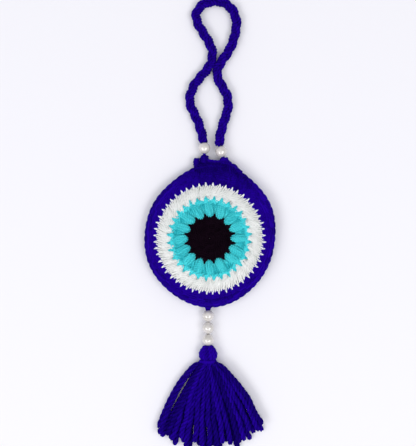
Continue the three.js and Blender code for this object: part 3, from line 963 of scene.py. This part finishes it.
def skirt():
    """One plied yarn for each strand, with the small bends that cut yarn has."""
    number = 0
    for layer in STRAND_LAYERS:
        for k in range(STRANDS_PER_LAYER):
            number += 1
            line = strand_route(k, *layer)
            s = np.linspace(0, 1, len(line))
            rounded = np.sqrt(np.clip((1 - s) / 0.035, 0.03, 1))
            thick = np.interp(s, [0, 0.12, 0.4, 1], [1.2, 1.45, 1.75, 1.9])
            line[:, 2] = np.maximum(line[:, 2], thick)
            radius = thick * (0.4 + 0.6 * rounded)
            pitch = rng.uniform(9.5, 13.0) * (1 + 0.12 * np.sin(TURN * (s * 3 + rng.random())))
            tone = rng.uniform(-0.1, 0.8)
            skein = Skein(0.3)
            skein.yarn(line, radius, plies=3, pitch=pitch, sides=8, flare=0.1, tone=tone, full=1.2)
            name = f"{number:02d}"
            skein.make("skirt_yarn_" + name, "tassel", BLUE, ["strand_" + name])


def towards(a, b):
    return (b[0] - a[0], b[1] - a[1], 0)


loop_piece, loop_route = plait()
stem("left_stem_yarn", LEFT_KNOT, LEFT_BEAD, CORD_ROUTE[0], "left_stem")
stem("right_stem_yarn", RIGHT_KNOT, RIGHT_BEAD, CORD_ROUTE[-1], "right_stem")
for side, at_bead, at_knot in (("left", LEFT_BEAD, LEFT_KNOT), ("right", RIGHT_BEAD, RIGHT_KNOT)):
    centre = (*at_bead, AXIS_Z)
    bead(side + "_pearl", side + "_bead", centre, towards(at_knot, at_bead), UPPER_BORE_R, side + "_bead")
for piece in (pupil(), iris(), white(), border(), back()):
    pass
rim()
crossing()
knot("tail_knot_yarn", (TAIL_KNOT[0], TAIL_KNOT[1] - 0.7), (2.55, 3.9, 2.4), "eye", "tail_knot", -4, 2.8)
knot("left_knot_yarn", LEFT_KNOT, (3.2, 3.2, 3.0), "hanger", "left_knot", 4, 3.4)
knot("right_knot_yarn", RIGHT_KNOT, (3.3, 2.2, 2.5), "hanger", "right_knot", -6, 3.6)
for i in range(3):
    centre = (STRING_X, FIRST_BEAD_Y - i * BEAD_PITCH, AXIS_Z)
    body = f"tassel_bead_{i + 1}"
    bead(f"tassel_pearl_{i + 1}", body, centre, (0, 1, 0), LOWER_BORE_R, body)
eyelet()
thread()
tassel_head()
neck_winding()
skirt()
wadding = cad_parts["wadding_pad"].data.materials
wadding.clear()
wadding.append(wadding_material())


# ---- the table and the lights ----
def table():
    mesh = bpy.data.meshes.new("table_top")
    half = 3.0
    corners = [(-half, -half, 0), (half, -half, 0), (half, half, 0), (-half, half, 0)]
    mesh.from_pydata(corners, [], [(0, 1, 2, 3)])
    top = bpy.data.objects.new("table_top", mesh)
    top.location.z = -0.0001
    bpy.context.scene.collection.objects.link(top)
    n = Nodes("table_white")
    n.set_shader({"Base Color": (0.835, 0.83, 0.872, 1), "Roughness": 0.7, "Specular IOR Level": 0.2})
    top.data.materials.append(n.material)


def softbox(name, lean, size, power):
    """A rectangle of light two metres away, facing the eye. Lean is its angle from straight above."""
    light = bpy.data.lights.new(name, "AREA")
    light.shape = "RECTANGLE"
    light.size, light.size_y = size
    light.energy = power
    way = Vector((math.sin(math.radians(lean)), -0.35, math.cos(math.radians(lean)))).normalized()
    box = bpy.data.objects.new(name, light)
    box.location = way * 2
    box.rotation_euler = way.to_track_quat("Z", "Y").to_euler()
    box.visible_camera = False
    bpy.context.scene.collection.objects.link(box)


def studio():
    """A plain room: bright round the horizon and overhead, and dimmer between them."""
    world = bpy.data.worlds.new("studio")
    world.use_nodes = True
    tree = world.node_tree
    way = tree.nodes.new("ShaderNodeTexCoord")
    split = tree.nodes.new("ShaderNodeSeparateXYZ")
    tree.links.new(way.outputs["Generated"], split.inputs[0])
    strength = tree.nodes.new("ShaderNodeFloatCurve")
    points = strength.mapping.curves[0].points
    points[0].location = (0.0, 1.0)
    points[1].location = (1.0, 0.88)
    # Height runs from 0 at the horizon to 1 straight overhead.
    for height, level in ((0.1, 0.96), (0.24, 0.5), (0.45, 0.5)):
        points.new(height, level)
    strength.mapping.update()
    tree.links.new(split.outputs["Z"], strength.inputs["Value"])
    tree.links.new(strength.outputs["Value"], tree.nodes["Background"].inputs["Strength"])
    tree.nodes["Background"].inputs["Color"].default_value = (0.97, 0.97, 1.0, 1)
    bpy.context.scene.world = world


table()
softbox("softbox_left", -39, (1.95, 0.75), 15.0)
softbox("softbox_right", 29, (1.7, 0.75), 14.8)
studio()
bpy.context.scene.view_settings.view_transform = "Standard"
bpy.context.scene.view_settings.look = "None"
